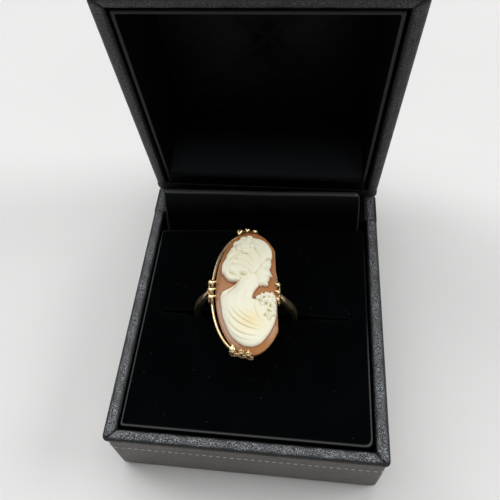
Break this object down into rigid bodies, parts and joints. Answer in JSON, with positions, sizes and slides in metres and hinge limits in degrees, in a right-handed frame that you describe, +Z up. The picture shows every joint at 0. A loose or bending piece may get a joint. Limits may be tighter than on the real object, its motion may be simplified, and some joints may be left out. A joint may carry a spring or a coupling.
{
  "type": "cameo ring in a ring box",
  "caption": "Gold ring with an oval shell cameo held by claws, its shank in the velvet pad of an open hinged ring box.",
  "frame": {"origin": "centre of the ring box's underside, on the surface that it stands on", "axes": "+Z up, +X to the right and +Y to the back, where the lid's hinge is; the finger hole runs along Y"},
  "size_m": [0.05, 0.0787, 0.0765],
  "materials": {
    "leatherette": "pebbled black leatherette with a soft sheen",
    "velvet": "short black velvet pile",
    "satin": "black satin with a fine twill",
    "gold": "polished warm yellow gold",
    "shell": "polished carved shell, ivory relief on an orange-brown ground"
  },
  "bodies": {
    "base": {"base_case": "leatherette", "ring_pad": "velvet", "hinge_flap": "velvet", "ring_mount": "gold", "cameo": "shell"},
    "lid": {"lid_case": "leatherette", "lid_lining": "satin"}
  },
  "joints": [
    {"name": "lid_hinge", "type": "hinge", "parent": "base", "child": "lid", "pos_m": [0, 0.02865, 0.0168], "axis": [1, 0, 0], "range_deg": [0, 79.4]}
  ]
}
